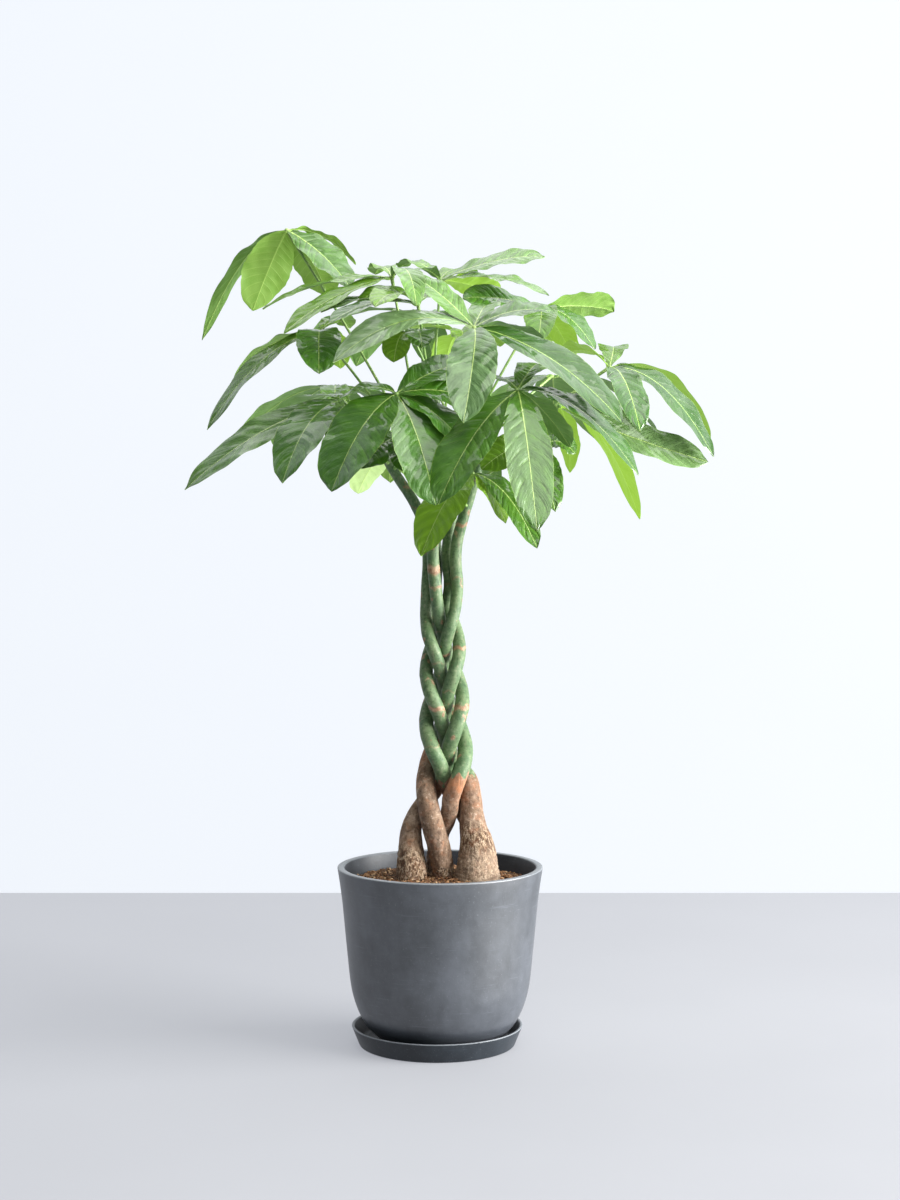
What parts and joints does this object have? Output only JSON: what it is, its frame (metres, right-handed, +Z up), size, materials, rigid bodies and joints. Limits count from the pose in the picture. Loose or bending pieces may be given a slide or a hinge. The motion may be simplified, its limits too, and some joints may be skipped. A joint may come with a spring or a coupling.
{
  "type": "potted plant",
  "caption": "Tall potted money tree: slender stems braided into one trunk, a spreading crown of drooping palmate leaves, and a round dark grey pot standing on a shallow saucer.",
  "frame": {"origin": "middle of the saucer's flat underside", "axes": "+Z up along the trunk, -Y to the front of the plant, +X to the right seen from the front"},
  "size_m": [0.7796, 0.6309, 1.2191],
  "materials": {
    "saucer": "smooth satin dark grey with a faint soft mottle",
    "pot": "smooth satin dark grey with a faint soft mottle",
    "soil": "loose bark chips over dark potting soil",
    "stem": "smooth green bark with leaf scars, turning rough and brown towards the soil",
    "leaf": "glossy green above with pale midribs, paler underneath"
  },
  "bodies": {
    "root": {"saucer": "saucer", "pot": "pot", "soil": "soil", "stem_right_shoot": "stem", "stem_left_brown": "stem", "stem_far_left": "stem", "stem_centre_green": "stem", "stem_right_brown": "stem", "leaf_top_left": "leaf", "leaf_upper_left": "leaf", "leaf_crown_left": "leaf", "leaf_crown_front": "leaf", "leaf_front_left": "leaf", "leaf_front_right": "leaf", "leaf_far_left": "leaf", "leaf_mid_left": "leaf", "leaf_far_right": "leaf", "leaf_upper_right": "leaf", "leaf_top": "leaf", "leaf_crown_core": "leaf", "leaf_crown_small": "leaf", "leaf_inner_right": "leaf", "leaf_low_right": "leaf", "leaf_low_left": "leaf", "leaf_inner_left": "leaf", "leaf_right_long": "leaf", "leaf_back_left": "leaf", "leaf_back_low": "leaf", "leaf_back_right": "leaf", "leaf_back_top": "leaf"}
  },
  "joints": []
}
